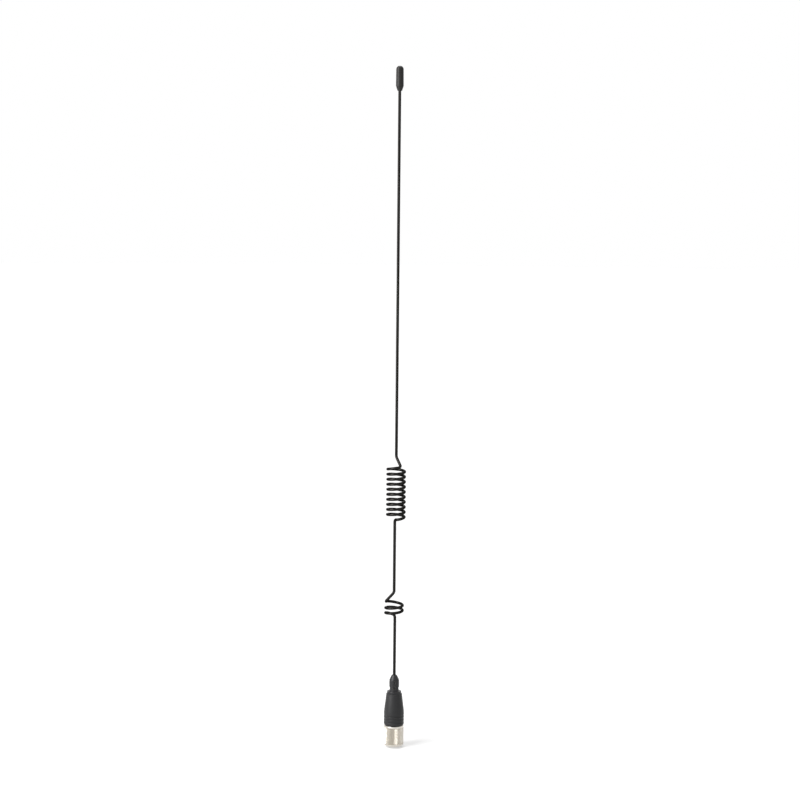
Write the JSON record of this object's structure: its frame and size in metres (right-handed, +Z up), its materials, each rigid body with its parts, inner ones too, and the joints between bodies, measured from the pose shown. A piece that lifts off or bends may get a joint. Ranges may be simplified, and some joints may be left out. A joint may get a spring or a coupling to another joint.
{
  "type": "vhf whip antenna",
  "caption": "Slim black wire whip with phasing coils and a moulded tip cap, on a coaxial plug foot with a knurled coupling ring.",
  "frame": {"origin": "on the whip's axis at the plug's seat, the plane where the shoulder of the plug's flange meets the socket", "axes": "+Z up along the whip, -Y towards the viewer of the picture, +X to the viewer's right"},
  "size_m": [0.0191, 0.0184, 0.615],
  "materials": {
    "coated_wire": "glossy black coat over spring steel",
    "tip_plastic": "moulded dark grey plastic, satin",
    "black_plating": "black plating on turned brass, satin",
    "black_steel": "black oxide on steel",
    "spring_steel": "zinc-plated spring steel",
    "rubber": "soft black rubber",
    "housing_plastic": "fine-grained black moulding",
    "brass_contact": "turned brass",
    "white_insulator": "smooth waxy white",
    "bright_plating": "bright nickel on turned brass",
    "ring_plating": "bright nickel on knurled brass"
  },
  "bodies": {
    "antenna": {"whip_rod": "coated_wire", "tip_cap": "tip_plastic", "rod_holder": "black_plating", "set_screw_upper": "black_steel", "set_screw_lower": "black_steel", "lock_washer": "spring_steel", "holder_gasket": "rubber", "base_housing": "housing_plastic", "centre_pin": "brass_contact", "pin_insulator": "white_insulator", "plug_shell": "bright_plating"},
    "ring": {"coupling_ring": "ring_plating"}
  },
  "joints": [
    {"name": "ring_turn", "type": "hinge", "parent": "antenna", "child": "ring", "pos_m": [0, 0, 0], "axis": [0, 0, 1], "continuous": true}
  ]
}
